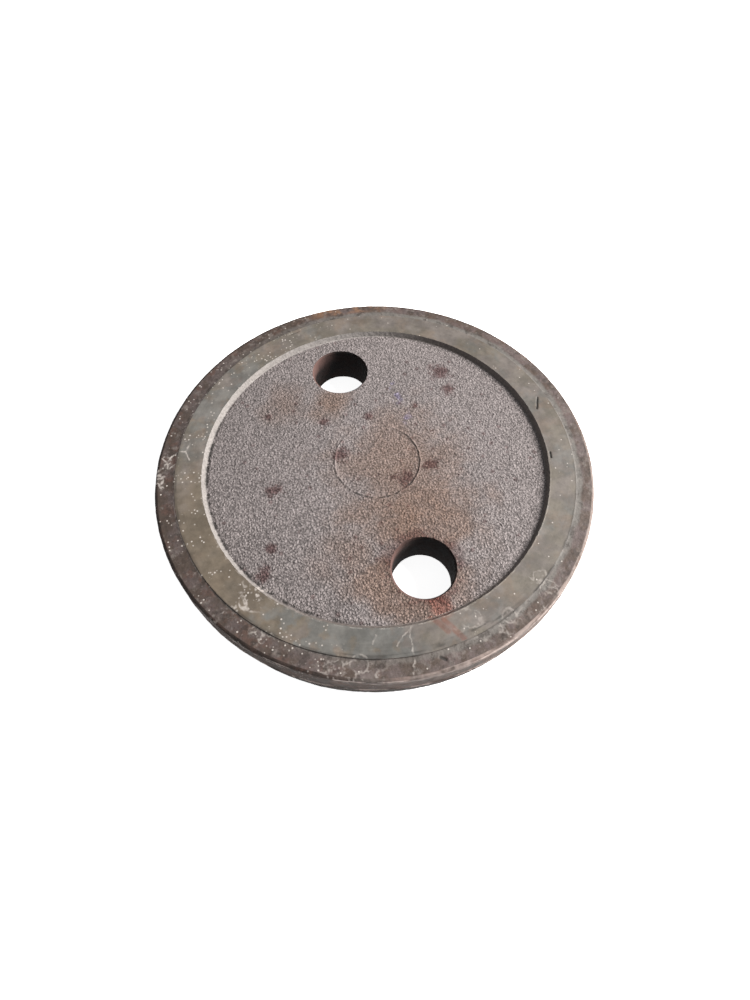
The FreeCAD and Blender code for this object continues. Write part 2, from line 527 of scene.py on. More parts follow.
def skin_depth(places):
    """How far each point stands out from the smooth casting."""
    calm = 0.25 + 0.75 * fade(HOLE_RADIUS - 0.2, HOLE_RADIUS + 0.9, places.from_hole)
    floor = grain_relief(places) + pit_relief(places) + witness_relief(places)
    wear = np.minimum(0.012 * (places.coarse - 1.2) + 0.005 * (places.medium - 1.2), 0.0)
    in_bore = (places.from_hole < HOLE_RADIUS + 0.05) * fade(FLOOR_Z - 0.6, FLOOR_Z - 1.5, places.height)
    on_back = (places.height < 0.01) * fade(HOLE_MOUTH_RADIUS, HOLE_MOUTH_RADIUS + 2, places.from_hole)
    depth = places.on_floor * calm * (floor + FLOOR_SWELL * places.coarse)
    depth += places.on_wall * (0.09 * places.fine + 0.04 * places.medium)
    depth += places.on_seat * wear
    depth += places.on_border * (0.05 * places.medium + 0.03 * places.fine - 0.08)
    depth += places.on_rim * (0.05 * places.fine + 0.08 * places.coarse - 0.12)
    depth += in_bore * (0.05 * places.medium + 0.03 * places.fine)
    depth += on_back * (1 - places.on_rim) * 0.02 * (places.coarse - 1.3)
    depth -= DEEPEST_NICK * nick_mask(places)
    return depth, floor


def worn_step_shift(places):
    """How far the heights beside the step change where its edge is worn to a slope."""
    slope = BORDER_Z + SEAT_HEIGHT * fade(SEAT_RADIUS + STEP_WEAR, SEAT_RADIUS - STEP_WEAR, places.radius)
    ragged = 0.12 * places.coarse + 0.06 * places.medium
    worn = fade(0.30, 0.80, places.facing(LIT_WALL_SIDE) + ragged)
    on_top = (places.height > BORDER_Z - 0.01) * (places.radius > RECESS_RADIUS + 1.0)
    return worn * on_top * (slope - places.height)


def rough_casting(points, triangles):
    """The casting with its relief, its places, and the floor's relief for the materials to read."""
    places = Places(points)
    depth, floor = skin_depth(places)
    moved = points + vertex_normals(points, triangles) * depth[:, None]
    step_edge = fade(1.2, 0.2, abs(places.radius - SEAT_EDGE_RADIUS)) * (places.height > BORDER_Z - 0.2)
    wall_edge = fade(1.0, 0.2, abs(places.radius - RECESS_RADIUS + 0.6)) * (places.height > FLOOR_Z)
    near_side = fade(-0.2, 0.8, places.facing(NEAR_SIDE))
    shift = step_edge * (0.05 * places.medium + 0.05 * places.fine)
    shift += wall_edge * (0.05 * places.medium + (0.18 + 0.06 * near_side) * places.fine)
    moved[:, :2] += places.plan / np.maximum(places.radius, 1.0)[:, None] * shift[:, None]
    widest = (OUTER_RADIUS - BOX_MARGIN) / np.maximum(from_axis(moved), 1.0)
    moved[:, :2] *= np.minimum(1.0, widest)[:, None]
    moved[:, 2] = np.clip(moved[:, 2] + worn_step_shift(places), 0.0, SEAT_Z)
    return moved, places, floor


# ---- masks ----

# place, radius and strength of each soft orange-brown stain
STAINS = [
    ((10, 330), 26, 0.75),
    ((30, 278), 24, 0.95),
    ((47, 262), 19, 1.00),
    ((40, 240), 12, 0.55),
    ((33, 105), 9, 0.80),
    ((45, 125), 9, 0.50),
]

# the same of each dark red-brown blotch
BLOTCHES = [
    ((51, 40), 4, 0.9),
    ((45, 30), 3, 0.9),
    ((40, 180), 3, 0.9),
    ((52, 205), 2, 0.9),
    ((60, 210), 3, 0.9),
    ((28, 120), 2, 0.9),
    ((21, 80), 2, 0.9),
    ((30, 40), 1.5, 0.9),
    ((48, 135), 2, 0.9),
    ((14, 150), 3, 0.9),
    ((13, 300), 4, 0.9),
    ((20, 335), 3, 0.9),
]

# places along each dried white line, and its strength
DRIPS = [
    ([(65, 260), (69, 259), (75, 259), (81, 258)], 0.50),
    ([(71, 255), (69, 256), (66, 260)], 0.45),
    ([(67, 250), (70, 249)], 0.40),
    ([(74, 298), (78, 294), (81, 293)], 0.40),
    ([(81, 165), (78, 161), (75, 158), (72, 158), (70, 161)], 0.90),
    ([(72, 158), (71, 155)], 0.70),
    ([(80, 160), (77, 164), (75, 162)], 0.70),
    ([(70, 211), (72, 215), (70, 218)], 0.50),
]
DRIP_WIDTH = 0.34

# places along each thin red streak over the faced ring
RED_STREAKS = [
    [(64, 266), (70, 269)],
    [(66, 269), (74, 272)],
]
RED_STREAK_WIDTH = 1.4

RED_POOL = [(57, 270), (63, 270)]
VIOLET_SMEAR = [(38, 60), (31, 55), (23, 40)]

# radius, half width and both ends in degrees of each dark smear beside the step
SMEARS = [(73.4, 1.6, 264, 286), (74.2, 1.0, 240, 262)]

# place and radius of each thin ring that a drop left
DROP_RINGS = [((76, 246), 2.8), ((75, 285), 2.4)]

# place, radius and strength of each crust of dried specks
CRUSTS = [
    ((75, 162), 6.0, 1.0),
    ((81, 166), 5.0, 1.0),
    ((70, 214), 6.0, 1.0),
    ((75, 220), 4.0, 0.8),
    ((80, 238), 5.0, 0.5),
    ((80, 248), 5.0, 0.6),
    ((77, 285), 6.0, 0.5),
    ((78, 297), 5.0, 0.5),
    ((70, 276), 4.0, 0.4),
    ((77, 110), 3.0, 0.6),
]


def stain_mask(places):
    """Soft orange-brown staining of the floor."""
    return places.spots(STAINS, 0.5, places.coarse) * (0.8 + 0.2 * places.coarse)


def rust_mask(places):
    """Dark red-brown blotches, and a scatter of small ones."""
    rust = places.spots(BLOTCHES, 0.45, places.fine + places.medium)
    nearest = cell_distances(places.plan, 7.0, 101)[0]
    small = fade(0.16, 0.05, nearest + 0.05 * places.medium) * (places.coarse > 0.15) * places.on_floor
    collar = fade(6.0, 0.0, places.from_hole - HOLE_RADIUS + 1.5 * places.medium)
    collar *= fade(20.0, -20.0, places.points[:, 1]) * 0.8 * fade(-1.2, 0.3, places.coarse + places.fine)
    collar *= places.from_hole > HOLE_RADIUS - 0.3
    return np.max([rust, 0.6 * small, collar], axis=0) * places.on_face


def red_mask(places):
    """The red run from the near hole, in thin streaks over the faced ring."""
    pool = places.trail(RED_POOL, 5.0, 0.8)
    streaks = [places.trail(line, RED_STREAK_WIDTH, 0.05) for line in RED_STREAKS]
    run = np.max(streaks, axis=0) * (0.85 + 0.25 * places.medium)
    return np.maximum(0.9 * pool, run) * places.on_face


def grime_and_shade_mask(places):
    """Black dirt and painted shade: painted shade with dirt along the step's near side and in the gap
    beside the mould's ring, a dark line at the foot of the wall, dark smears and a groove line on
    the faced ring, and dark in the nicks.
    """
    near_side = fade(-0.2, 0.8, places.facing(-105))
    streaks = places.streaky(0.7, 9.0, 131)
    # painted shade with dirt along the step on the near side, where the step falls dark
    step = fade(0.7, 0.1, abs(places.radius - SEAT_RADIUS + 0.25 - 0.15 * places.medium))
    step *= near_side * fade(-0.7, 0.5, places.streaky(3.0, 7.0, 133)) * 0.7
    halo = fade(2.6, 0.2, SEAT_RADIUS - places.radius) * places.on_seat * near_side
    halo *= fade(0.1, 0.7, streaks) * 0.35
    smear = np.max([places.arc_band(*smear, ends=5) for smear in SMEARS], axis=0)
    smear *= fade(-0.4, 0.5, streaks + 0.3 * places.fine) * 0.55
    groove = fade(0.45, 0.1, abs(places.radius - SEAT_RADIUS + 0.8 - 0.1 * places.medium))
    groove *= fade(0.5, 0.9, places.facing(OLIVE_SIDE)) * fade(-0.6, 0.4, places.streaky(2.0, 6.0, 137))
    # a dark line at the foot of the wall
    foot = fade(0.9, 0.2, abs(places.radius - WALL_FOOT_RADIUS + 0.3 + 0.3 * places.fine))
    foot *= fade(0.4, 0.8, places.facing(190)) * fade(-0.6, 0.1, places.fine + places.medium)
    foot *= places.height > FLOOR_Z - 0.3
    # the gap beside the mould's ring is painted dark as shade
    parts = [step, halo, smear, 0.45 * groove, 0.9 * foot, 0.8 * ring_gap(places), nick_mask(places)]
    return np.max(parts, axis=0)


def crust_outlines(places):
    """The crooked outlines and grains of dried crusts."""
    crusts = places.spots(CRUSTS, 0.8, places.coarse + places.medium)
    level = fractal_noise(places.points, 5.0, 151, octaves=4)
    outline = fade(0.14, 0.03, abs(level - 0.15)) * fade(-0.8, 0.1, places.fine)
    nearest = cell_distances(places.plan, 1.7, 181)[0]
    grains = fade(0.24, 0.12, nearest) * fade(0.0, 0.5, places.medium + 0.5 * places.fine)
    marks = np.max([0.75 * outline, 0.8 * grains, 0.15 * fade(0.1, 0.6, level)], axis=0)
    return crusts * marks


def chalk_and_highlight_mask(places):
    """Dried white lines, drop rings and crusts, and broken pale lips on the recess and the step that
    are partly burr and wear and partly painted highlights.
    """
    lines = [strength * places.trail(line, DRIP_WIDTH, 0.45) for line, strength in DRIPS]
    wander = 0.3 * places.medium
    rings = [fade(0.4, 0.1, abs(places.distance_from(place) + wander - size)) for place, size in DROP_RINGS]
    rings = [0.35 * ring for ring in rings]
    broken = 0.25 + 0.75 * fade(-0.4, 0.5, places.fine)
    # painted highlight along the recess edge on the near side, partly a pale burr
    lip = fade(0.4, 0.1, abs(places.radius - RECESS_RADIUS - 0.15 + 0.1 * places.fine))
    lip *= fade(-0.3, 0.6, places.facing(-100)) * fade(-0.2, 0.7, places.medium + 0.5 * places.fine)
    # painted highlight with wear on the step edge, which lightens the step's shade
    worn = fade(0.4, 0.1, abs(places.radius - SEAT_RADIUS + 0.1)) * fade(0.0, 0.7, places.facing(195))
    chalk_and_highlight = np.max([*lines, *rings, 0.55 * lip, 0.25 * worn], axis=0) * broken
    return np.maximum(chalk_and_highlight, crust_outlines(places)) * places.on_face


def violet_mask(places):
    """Faint bluish smears near the middle of the floor."""
    smear = places.trail(VIOLET_SMEAR, 3.0, 1.4)
    return 0.8 * smear * fade(-0.1, 0.5, places.medium)


def weather_and_shade_mask(places):
    """Weathering and painted shade: the side of the disc away from the light, darker and more weathered."""
    across = places.radius * places.facing(SHADED_WEATHERED_SIDE)
    return fade(-25.0, 75.0, across + 6 * places.coarse)


def strip_mask(places):
    """The cleaner strip of border beside the step."""
    ragged = places.radius + 0.45 * places.medium + 0.5 * places.coarse
    return fade(SEAT_RADIUS + 2.6, SEAT_RADIUS + 1.2, ragged) * fade(-85.0, 40.0, places.points[:, 0])


def orange_mask(places):
    """Fresh rust on the border's far edge."""
    return 0.75 * places.arc_band(80, 3.6, 66, 92, 10) * fade(-1.1, 0.3, places.medium + places.coarse)


def worn_and_lit_mask(places):
    """Painted light on the rim's upper half on the side towards the light, and the parting ridge worn
    pale all round.
    """
    upper = fade(PARTING_HEIGHT - 0.2, PARTING_HEIGHT + 0.6, places.height)
    ridge = fade(0.7, 0.2, abs(places.height - PARTING_HEIGHT))
    worn_and_lit = fade(-0.1, 0.8, places.facing(LIT_RIM_SIDE))
    return np.maximum(0.40 * upper * worn_and_lit, 0.5 * ridge) * (0.55 + 0.45 * places.medium)


def under_mask(places):
    """Painted shade: the rim below the parting line, which the rim's colour makes darker."""
    return fade(PARTING_HEIGHT + 0.3, PARTING_HEIGHT - 0.6, places.height) * places.on_rim


def scratch_and_highlight_mask(places):
    """Bright broken scratches along the shoulder and the parting ridge, and a scraped band, on the
    near side; along the shoulder they are also painted highlights where the edge meets the light."""
    wander = 0.15 * places.medium
    width = 0.55 + 0.5 * fade(0.3, 0.9, places.facing(-65))
    shoulder = fade(width, 0.1, abs(places.height - BORDER_Z + 0.35 + wander)) * (places.on_rim > 0.2)
    second = fade(0.45, 0.1, abs(places.height - BORDER_Z + 2.2 + wander)) * 0.6
    parting = fade(0.5, 0.1, abs(places.height - PARTING_HEIGHT)) * 0.7
    broken = fade(-0.3, 0.5, places.streaky(1.0, 7.0, 171) + 0.4 * places.fine)
    scraped = fade(2.4, 0.6, abs(places.height - BORDER_Z + 0.9)) * fade(0.5, 0.9, places.facing(-60))
    scraped *= 0.4 * fade(-0.8, 0.4, places.streaky(0.5, 5.0, 173) + 0.4 * places.fine)
    lines = np.max([shoulder, second, parting], axis=0) * broken
    lines *= fade(-0.4, 0.5, places.facing(SCRATCHED_HIGHLIGHT_SIDE))
    return np.maximum(lines, scraped)


def bore_rust_and_light_mask(places):
    """Painted light and brown rust near the top of the bores, on the side away from +X, whose wall
    faces the light.
    """
    near_top = fade(FLOOR_Z - 8.0, FLOOR_Z - 0.5, places.height + 1.5 * places.medium)
    return near_top * fade(HOLE_RADIUS * 0.3, -HOLE_RADIUS * 0.9, places.points[:, 0] + places.medium)


def painted_light_wall_mask(places):
    """Painted light on the recess wall: 1 on the side that faces the light, which is made pale."""
    return fade(-0.15, 0.6, places.facing(LIT_WALL_SIDE))


def olive_mask(places):
    """The part of the faced ring that is stained olive."""
    ragged = 0.10 * places.coarse + 0.06 * places.medium
    return fade(0.70, 0.98, places.facing(OLIVE_SIDE) + ragged)


def cool_mask(places):
    """The two parts of the faced ring that stayed blue-grey."""
    ragged = 0.04 * places.coarse + 0.02 * places.medium
    near, far = (fade(0.93, 0.985, places.facing(side) + ragged) for side in COOL_SIDES)
    return np.maximum(near, 0.8 * far) * fade(-0.6, 0.3, places.coarse + places.medium)


# each is painted under its own name, without _mask
MASKS = [
    stain_mask, rust_mask, red_mask, painted_light_wall_mask, olive_mask, cool_mask, scratch_and_highlight_mask,
    under_mask, grime_and_shade_mask, chalk_and_highlight_mask, violet_mask, weather_and_shade_mask, strip_mask, orange_mask,
    worn_and_lit_mask, bore_rust_and_light_mask,
]


def relief_shade_mask(floor):
    """The floor's relief, brought to 0 for gaps and 1 for grain tops; the floor's colour reads it as
    painted shade, dark in the gaps and light on the tops.
    """
    return 0.5 + floor / RELIEF_SPAN


# ---- materials ----


class Look:
    """Short calls that build one material's nodes."""

    def __init__(self, name):
        self.material = bpy.data.materials.new(name)
        self.material.use_nodes = True
        self.tree = self.material.node_tree
        self.tree.nodes.clear()
        self.place = self.node("ShaderNodeTexCoord").outputs["Object"]
        self.shader = self.node("ShaderNodeBsdfPrincipled")
        output = self.node("ShaderNodeOutputMaterial")
        self.tree.links.new(self.shader.outputs[0], output.inputs["Surface"])

    def node(self, kind, inputs=None, **settings):
        """A new node with its settings made and its inputs fed."""
        made = self.tree.nodes.new(kind)
        for key, value in settings.items():
            setattr(made, key, value)
        self.feed(made, inputs or {})
        return made

    def feed(self, node, inputs):
        """Links each named input of a node, or sets it to a number or colour."""
        for key, value in inputs.items():
            socket = node.inputs[key]
            if isinstance(value, bpy.types.NodeSocket):
                self.tree.links.new(value, socket)
            elif socket.type == "RGBA":
                socket.default_value = (*value, 1.0)
            else:
                socket.default_value = value

    def mask(self, name):
        return self.node("ShaderNodeAttribute", attribute_name=name).outputs["Fac"]

    def vector(self, operation, a, b):
        return self.node("ShaderNodeVectorMath", {0: a, 1: b}, operation=operation).outputs[0]

    def shifted(self, seed):
        """The place on the casting, moved so that two textures of one size differ."""
        return self.vector("ADD", self.place, (seed, seed, seed))

    def noise(self, size, seed=0.0, detail=4.0, roughness=0.6):
        """Noise from 0 to 1 with features about size millimetres across."""
        inputs = {"Vector": self.shifted(seed), "Scale": 1 / (size * MM)}
        inputs |= {"Detail": detail, "Roughness": roughness}
        return self.node("ShaderNodeTexNoise", inputs).outputs["Fac"]

    def specks(self, size, share, seed=0.0):
        """1 in scattered specks: size is their spacing in millimetres, share their radius in it."""
        inputs = {"Vector": self.shifted(seed), "Scale": 1 / (size * MM)}
        made = self.node("ShaderNodeTexVoronoi", inputs)
        return self.between(made.outputs["Distance"], share, share * 0.5)

    def rings(self, size, seed=0.0):
        """Noise from 0 to 1 that changes only with the distance from the disc's axis."""
        flat = self.vector("MULTIPLY", self.place, (1.0, 1.0, 0.0))
        length = self.node("ShaderNodeVectorMath", {0: flat}, operation="LENGTH")
        inputs = {"W": self.math("ADD", length.outputs["Value"], seed), "Scale": 1 / (size * MM)}
        return self.node("ShaderNodeTexNoise", inputs, noise_dimensions="1D").outputs["Fac"]

    def math(self, operation, a, b):
        return self.node("ShaderNodeMath", {0: a, 1: b}, operation=operation).outputs[0]

    def times(self, a, b):
        return self.math("MULTIPLY", a, b)

    def between(self, value, low, high):
        """0 at low, 1 at high, smooth between."""
        inputs = {"Value": value, "From Min": low, "From Max": high}
        return self.node("ShaderNodeMapRange", inputs, interpolation_type="SMOOTHSTEP").outputs[0]

    def patches(self, low, high, *noise):
        """1 in soft-edged patches, 0 between them; the rest is what noise takes."""
        return self.between(self.noise(*noise), low, high)

    def mix(self, share, first, second):
        """A colour from first at 0 to second at 1."""
        return self.node("ShaderNodeMix", {0: share, 6: first, 7: second}, data_type="RGBA").outputs[2]

    def over(self, colour, share, strength, cover):
        """A colour with another laid over it."""
        return self.mix(self.times(share, strength), colour, cover)

    def toned(self, colour, tone):
        """A colour made darker or lighter by a number near 1."""
        return self.node("ShaderNodeVectorMath", {0: colour, "Scale": tone}, operation="SCALE").outputs[0]

    def tinted(self, colour, share, tint):
        """A colour with a see-through stain over it."""
        return self.vector("MULTIPLY", colour, self.mix(share, CLEAR, tint))

    def streaks(self, size, length, seed):
        """Broken streaks round the disc, from 0 to 1."""
        broken = self.between(self.noise(length, seed), 0.35, 0.65)
        return self.times(self.between(self.rings(size, seed), 0.4, 0.65), broken)

    def spread(self, share, low, high):
        """A number from low at 0 to high at 1."""
        return self.node("ShaderNodeMapRange", {"Value": share, "To Min": low, "To Max": high}).outputs[0]

    def bump(self, height, depth, under=None):
        """Fine relief, depth millimetres from 0 to 1 of height, over an earlier bump."""
        inputs = {"Height": height, "Distance": depth * MM}
        if under is not None:
            inputs["Normal"] = under
        return self.node("ShaderNodeBump", inputs).outputs["Normal"]

    def finish(self, colour, roughness, normal, metallic=0.0, specular=0.35):
        self.feed(self.shader, {"Base Color": colour, "Roughness": roughness, "Normal": normal})
        self.feed(self.shader, {"Metallic": metallic, "Specular IOR Level": specular})
        return self.material


# the floor's grain tops as painted light and its gaps as painted shade
CAST_LIT_TOPS = (0.272, 0.241, 0.239)
CAST_SHADED_GAPS = (0.104, 0.091, 0.090)
CAST_SPECK = (0.40, 0.37, 0.365)
# black dirt, and painted shade along the step and in the gap beside the mould's ring
GRIME_AND_SHADE = (0.018, 0.016, 0.015)
# dried white deposits and specks, and painted highlights on the recess and step edges
CHALK_AND_HIGHLIGHT = (0.46, 0.42, 0.39)
ORANGE = (0.220, 0.120, 0.070)
# the recess wall's painted light on its lit side and painted shade on the other
WALL_PAINTED_LIT = (0.262, 0.243, 0.232)
WALL_PAINTED_SHADE = (0.135, 0.115, 0.106)
SEAT_OLIVE = (0.140, 0.124, 0.103)
SEAT_GREY = (0.152, 0.134, 0.122)
SEAT_TAN = (0.158, 0.124, 0.098)
SEAT_BLUE = (0.128, 0.128, 0.122)
SEAT_STAINED = (0.118, 0.094, 0.068)
STRIP_GREY = (0.150, 0.139, 0.128)
UMBER = (0.078, 0.056, 0.045)
PURPLE = (0.112, 0.086, 0.082)
BORDER_RED = (0.110, 0.060, 0.046)
BORDER_PALE = (0.185, 0.160, 0.146)
# dark weathering, and painted shade on the side away from the light
BORDER_WEATHER_AND_SHADE = (0.034, 0.026, 0.022)
RIM_DARK = (0.026, 0.019, 0.016)
RIM_BROWN = (0.060, 0.043, 0.037)
# the rim worn pale, and painted light on its upper half
RIM_WORN_AND_LIT = (0.270, 0.225, 0.205)
# bright scratches, and painted highlights along the rim's edges
RIM_SCRATCH_AND_HIGHLIGHT = (0.480, 0.400, 0.370)
# dark weathering of the rim, and painted shade on the side away from the light
RIM_WEATHER_AND_SHADE = (0.016, 0.013, 0.012)
# painted shade of the bolt holes' walls, and their rusty painted lit side
BORE_SHADE_BLACK = (0.008, 0.007, 0.007)
BORE_SHADE_BROWN = (0.018, 0.012, 0.011)
BORE_RUST_LIT = (0.125, 0.076, 0.068)
BACK_GREY = (0.115, 0.098, 0.085)
BACK_BROWN = (0.085, 0.060, 0.045)
BACK_RING = (0.17, 0.15, 0.135)
BACK_RUST = (0.12, 0.05, 0.028)

# stains that the surface shows through
CLEAR = (1.0, 1.0, 1.0)
STAIN = (0.83, 0.60, 0.45)
RUST = (0.42, 0.27, 0.27)
RED = (1.02, 0.62, 0.55)
VIOLET = (0.85, 0.85, 1.30)


def white_specks(look):
    """Small white dots, thick on the weathered side."""
    thick = look.times(look.specks(1.6, 0.24, 0.19), look.between(look.mask("weather_and_shade"), 0.2, 0.7))
    thick = look.times(thick, look.patches(0.46, 0.56, 8.0, 0.23, 2.0, 0.5))
    return look.math("MAXIMUM", thick, look.times(look.specks(3.4, 0.10, 0.29), 0.8))


def deposits(look, colour):
    """Rust, dirt and dried white deposits laid over a zone's own colour, with the painted shade and
    painted highlights that their masks carry.
    """
    colour = look.tinted(colour, look.mask("rust"), RUST)
    colour = look.tinted(colour, look.mask("red"), RED)
    colour = look.mix(look.mask("grime_and_shade"), colour, GRIME_AND_SHADE)
    return look.mix(look.mask("chalk_and_highlight"), colour, CHALK_AND_HIGHLIGHT)


def floor_material():
    """As-cast floor: light grain tops and dark gaps painted as shade of the relief, soft stains that the
    grain shows through, and painted light on the side towards the light.
    """
    look = Look("cast_floor")
    grain = look.noise(0.85, 0.0, 2.0)
    # painted shade of the relief: dark in the gaps, light on the grain tops
    height = look.math("ADD", look.mask("relief_shade"), look.times(grain, 1.3))
    colour = look.mix(look.between(height, 0.80, 1.55), CAST_SHADED_GAPS, CAST_LIT_TOPS)
    cloud = look.spread(look.noise(14.0, 0.3, 3.0, 0.5), 0.85, 1.15)
    # painted light: the floor is made lighter on the side towards the light
    colour = look.toned(colour, look.times(cloud, look.spread(look.mask("weather_and_shade"), 1.10, 0.98)))
    sparkle = look.patches(0.66, 0.76, 0.5, 0.9, 1.0, 0.5)
    colour = look.over(colour, sparkle, 0.6, CAST_SPECK)
    stain = look.times(look.mask("stain"), look.spread(look.noise(1.5, 0.0, 3.0, 0.55), 0.8, 1.3))
    colour = look.tinted(colour, stain, STAIN)
    colour = look.tinted(colour, look.mask("violet"), VIOLET)
    fine = look.bump(look.noise(0.45, 0.5, 2.0), 0.12)
    normal = look.bump(grain, 0.85, fine)
    return look.finish(deposits(look, colour), look.spread(grain, 0.62, 0.9), normal, specular=0.3)


def wall_material():
    """Recess wall: painted light on the side that faces the light, painted shade on the other."""
    look = Look("recess_wall")
    cloud = look.noise(4.0, 0.0, 3.0)
    grain = look.noise(0.8, 0.0, 2.0)
    # painted light on the wall's side towards the light, painted shade elsewhere
    colour = look.mix(look.mask("painted_light_wall"), WALL_PAINTED_SHADE, WALL_PAINTED_LIT)
    colour = look.toned(colour, look.times(look.spread(cloud, 0.8, 1.15), look.spread(grain, 0.5, 1.5)))
    normal = look.bump(grain, 0.15)
    return look.finish(deposits(look, colour), look.spread(cloud, 0.5, 0.7), normal)


def seat_material():
    """Faced ring: smooth grey-olive with patches, faint turning marks, specks and drips, and painted shade
    on the side towards the light.
    """
    look = Look("faced_seat")
    colour = look.mix(look.patches(0.40, 0.60, 13.0, 0.1, 3.0, 0.5), SEAT_OLIVE, SEAT_GREY)
    colour = look.over(colour, look.patches(0.48, 0.64, 8.0, 0.7), 0.6, SEAT_TAN)
    colour = look.over(colour, look.patches(0.52, 0.66, 10.0, 0.11), 0.6, SEAT_BLUE)
    colour = look.over(colour, look.mask("olive"), 0.75, SEAT_STAINED)
    colour = look.over(colour, look.mask("cool"), 0.85, SEAT_BLUE)
    colour = look.over(colour, look.streaks(1.6, 5.0, 0.33), 0.10, BORDER_WEATHER_AND_SHADE)
    mottle = look.spread(look.noise(1.8, 0.13), 0.74, 1.26)
    patches = look.spread(look.patches(0.35, 0.65, 7.0, 0.93, 5.0, 0.65), 0.82, 1.18)
    # painted shade: the faced ring is made darker on the side towards the light
    lit_side_shade = look.spread(look.mask("weather_and_shade"), 0.88, 1.03)
    colour = look.toned(colour, look.times(look.times(mottle, patches), lit_side_shade))
    colour = look.mix(white_specks(look), colour, CHALK_AND_HIGHLIGHT)
    marks = look.bump(look.rings(0.35, 0.5), 0.006)
    normal = look.bump(look.noise(2.0), 0.03, marks)
    shine = look.spread(look.noise(6.0, 0.17, 3.0), 0.42, 0.66)
    return look.finish(deposits(look, colour), shine, normal, 0.05, 0.35)


def border_material():
    """Border: a grey strip beside the step, then brown and purple weathering with pale streaks, and
    painted shade on the side away from the light.
    """
    look = Look("weathered_border")
    colour = look.mix(look.patches(0.42, 0.58, 6.0, 0.31), UMBER, PURPLE)
    reddish = look.patches(0.50, 0.64, 5.0, 0.87, 4.0, 0.65)
    reddish = look.times(reddish, look.spread(look.mask("weather_and_shade"), 0.2, 0.8))
    colour = look.mix(reddish, colour, BORDER_RED)
    colour = look.mix(look.mask("strip"), colour, STRIP_GREY)
    # painted shade with weathering: darker on the side away from the light
    colour = look.over(colour, look.mask("weather_and_shade"), 0.30, BORDER_WEATHER_AND_SHADE)
    colour = look.mix(look.mask("orange"), colour, ORANGE)
    colour = look.over(colour, look.patches(0.52, 0.66, 3.5, 0.57, 4.0, 0.7), 0.65, BORDER_PALE)
    colour = look.over(colour, look.patches(0.52, 0.64, 4.5, 0.37, 4.0, 0.7), 0.65, BORDER_WEATHER_AND_SHADE)
    colour = look.over(colour, look.streaks(0.9, 5.0, 0.61), 0.25, BORDER_WEATHER_AND_SHADE)
    colour = look.toned(colour, look.spread(look.noise(1.2, 0.83, 4.0, 0.65), 0.45, 1.30))
    colour = look.mix(white_specks(look), colour, CHALK_AND_HIGHLIGHT)
    normal = look.bump(look.noise(0.9, 0.41, 4.0, 0.65), 0.12)
    shine = look.spread(look.noise(4.0, 0.43, 3.0), 0.5, 0.8)
    return look.finish(deposits(look, colour), shine, normal, 0.1, 0.4)


def rim_material():
    """Rim: dark cast skin, lighter on the shoulder and along the parting line: the parting ridge worn
    pale, painted light on the upper half and bright scratches with painted highlights along the
    shoulder; painted shade on the lower half and on the side away from the light.
    """
    look = Look("cast_rim")
    patch = look.patches(0.40, 0.60, 5.0, 0.47)
    colour = look.mix(patch, RIM_DARK, RIM_BROWN)
    colour = look.over(colour, look.patches(0.50, 0.64, 6.0, 0.89, 4.0, 0.65), 0.5, BORDER_RED)
    # painted light on the rim's upper half towards the light, and the parting ridge worn pale
    colour = look.mix(look.mask("worn_and_lit"), colour, RIM_WORN_AND_LIT)
    # painted shade with weathering: darker on the side away from the light
    colour = look.over(colour, look.mask("weather_and_shade"), 0.6, RIM_WEATHER_AND_SHADE)
    colour = look.over(colour, look.streaks(0.8, 4.0, 0.91), 0.3, RIM_BROWN)
    # painted shade: the rim's lower half made darker
    colour = look.toned(colour, look.spread(look.mask("under"), 1.0, 0.55))
    # bright scratches and painted highlights along the shoulder and the parting ridge
    colour = look.mix(look.mask("scratch_and_highlight"), colour, RIM_SCRATCH_AND_HIGHLIGHT)
    colour = look.mix(look.mask("orange"), colour, ORANGE)
    colour = look.over(colour, white_specks(look), 0.35, CHALK_AND_HIGHLIGHT)
    fine = look.bump(look.noise(0.7, 0.53, 4.0, 0.65), 0.12)
    normal = look.bump(look.noise(3.0, 0.59, 3.0), 0.25, fine)
    return look.finish(deposits(look, colour), look.spread(patch, 0.7, 0.9), normal, 0.0, 0.15)


def bore_material():
    """Bolt hole wall: nearly black as painted shade, with rust and painted light near its upper edge."""
    look = Look("bore_wall")
    patch = look.patches(0.35, 0.65, 3.0, 0.61)
    # painted shade: the bore walls made nearly black
    colour = look.mix(patch, BORE_SHADE_BLACK, BORE_SHADE_BROWN)
    # painted light with rust near the top, where the wall faces the light
    colour = look.mix(look.mask("bore_rust_and_light"), colour, BORE_RUST_LIT)
    normal = look.bump(look.noise(0.9, 0.67), 0.15)
    return look.finish(colour, look.spread(patch, 0.8, 0.95), normal, specular=0.1)


def back_material():
    """Back face: faced once, now dull grey-brown with rust clouds and faint turning marks."""
    look = Look("back_face")
    patch = look.patches(0.38, 0.65, 16.0, 0.71)
    colour = look.mix(patch, BACK_GREY, BACK_BROWN)
    ringed = look.between(look.rings(1.0, 0.7), 0.3, 0.7)
    colour = look.over(colour, ringed, 0.3, BACK_RING)
    colour = look.over(colour, look.patches(0.58, 0.72, 6.0, 0.73, 5.0, 0.65), 0.7, BACK_RUST)
    marks = look.bump(look.rings(0.5, 0.3), 0.02)
    normal = look.bump(look.noise(1.2, 0.79), 0.08, marks)
    return look.finish(colour, look.spread(patch, 0.45, 0.7), normal, 0.2, 0.4)


# one for each zone
MATERIALS = [
    floor_material, wall_material, seat_material, border_material, rim_material, bore_material,
    back_material,
]


# ---- the casting in Blender ----


